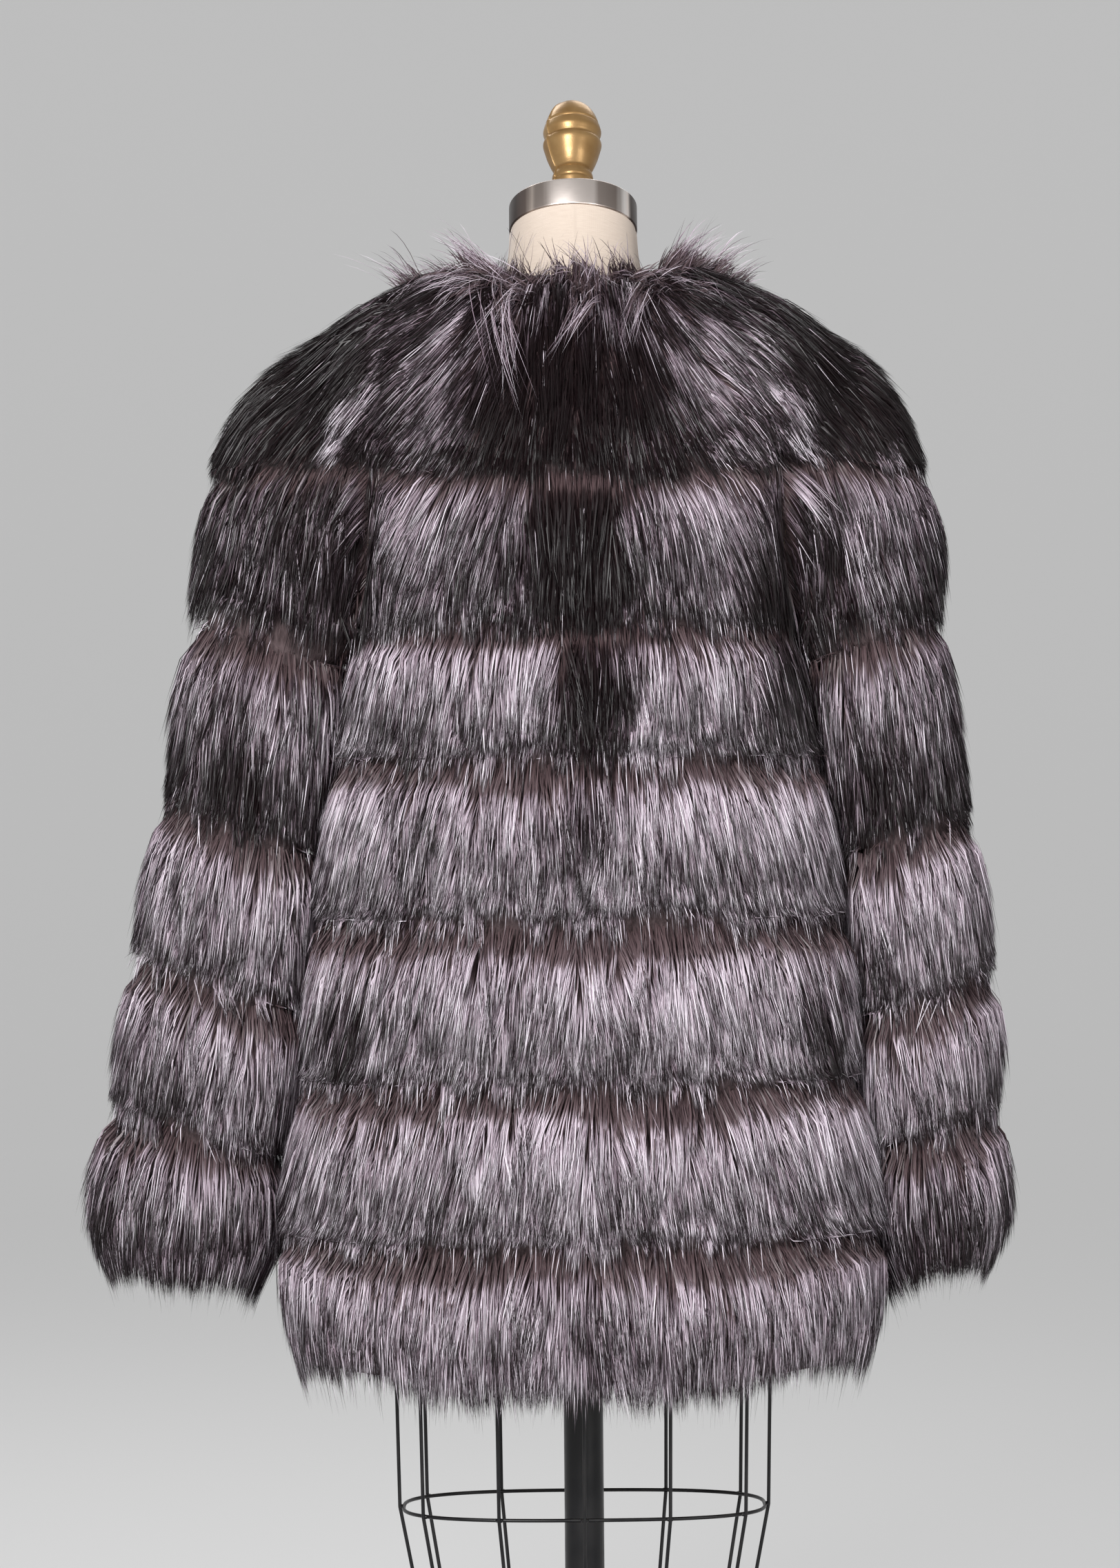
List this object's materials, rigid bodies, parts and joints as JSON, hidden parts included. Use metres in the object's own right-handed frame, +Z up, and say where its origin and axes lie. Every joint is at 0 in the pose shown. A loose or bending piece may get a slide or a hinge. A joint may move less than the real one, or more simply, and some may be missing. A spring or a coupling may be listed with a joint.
{
  "type": "fur coat on dress form",
  "caption": "Thick tiered silver fox fur coat with long sleeves and no collar, hanging on a limbless linen dress form with a wire skirt cage, pole and round base.",
  "frame": {"origin": "on the floor, at the centre of the base's underside, under the pole", "axes": "+Z up; -Y towards the coat's back, so +Y towards its front opening; +X towards the wearer's right"},
  "size_m": [0.8077, 0.43, 1.5922],
  "materials": {
    "fox_fur": "long glossy silver fox guard hair over brown-grey underfur",
    "linen": "plain woven ivory linen cover",
    "brushed_steel": "brushed round the rim",
    "gold_paint": "satin antique gold paint",
    "black_enamel": "satin black enamel"
  },
  "bodies": {
    "root": {"coat_back": "fox_fur", "coat_front_left": "fox_fur", "coat_front_right": "fox_fur", "sleeve_left": "fox_fur", "sleeve_right": "fox_fur", "form_torso": "linen", "neck_plate": "brushed_steel", "finial": "gold_paint", "base": "black_enamel", "pole": "black_enamel", "cage_ring_upper": "black_enamel", "cage_ring_lower": "black_enamel", "cage_wire_01": "black_enamel", "cage_wire_02": "black_enamel", "cage_wire_03": "black_enamel", "cage_wire_04": "black_enamel", "cage_wire_05": "black_enamel", "cage_wire_06": "black_enamel", "cage_wire_07": "black_enamel", "cage_wire_08": "black_enamel", "cage_wire_09": "black_enamel", "cage_wire_10": "black_enamel", "cage_wire_11": "black_enamel", "cage_wire_12": "black_enamel"}
  },
  "joints": []
}
